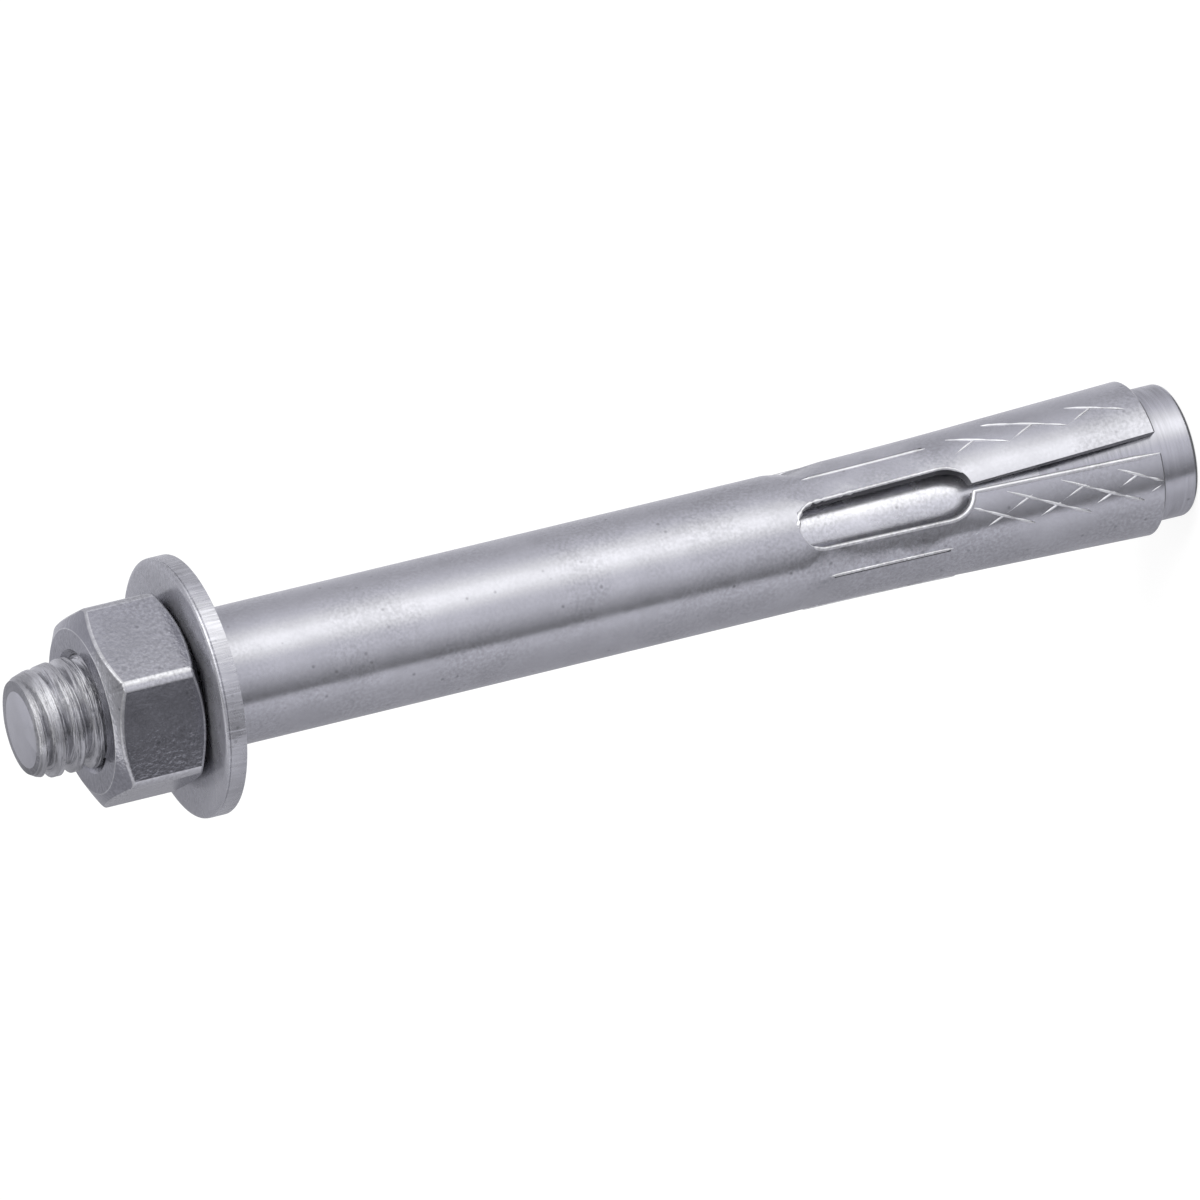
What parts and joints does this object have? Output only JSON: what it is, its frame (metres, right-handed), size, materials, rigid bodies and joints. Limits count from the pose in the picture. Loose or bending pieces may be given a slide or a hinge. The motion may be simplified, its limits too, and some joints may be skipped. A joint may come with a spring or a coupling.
{
  "type": "sleeve anchor",
  "caption": "Hex nut sleeve anchor: a threaded stud with a flared cone inside a slit, rolled steel sleeve that spreads in a drilled hole as the nut is turned.",
  "frame": {"origin": "on the anchor's axis, in the plane where the washer bears on the top of the sleeve and on the fixture", "axes": "+Z along the axis from the cone end to the threaded end, -Y through the middle of one window"},
  "size_m": [0.018, 0.018, 0.0859],
  "materials": {
    "sleeve_zinc": "bright zinc plate, satin, with fine dark specks",
    "stud_zinc": "bright zinc plate over a rolled thread and a forged cone",
    "washer_zinc": "bright zinc plate with a punched, burnished rim",
    "nut_zinc": "bright zinc plate, flats slightly mottled"
  },
  "bodies": {
    "sleeve": {"sleeve": "sleeve_zinc"},
    "stud": {"stud": "stud_zinc"},
    "washer": {"washer": "washer_zinc"},
    "hex_nut": {"hex_nut": "nut_zinc"}
  },
  "joints": [
    {"name": "stud_slide", "type": "slide", "parent": "sleeve", "child": "stud", "axis": [0, 0, 1], "range_m": [-0.01129, 0]},
    {"name": "nut_turn", "type": "hinge", "parent": "sleeve", "child": "hex_nut", "pos_m": [0, 0, 0], "axis": [0, 0, 1], "range_deg": [0, 2880]},
    {"name": "washer_spin", "type": "hinge", "parent": "sleeve", "child": "washer", "pos_m": [0, 0, 0], "axis": [0, 0, 1], "continuous": true}
  ],
  "couplings": [
    {"joint": "nut_turn", "follows": "stud_slide", "rad_per_m": -4453}
  ]
}
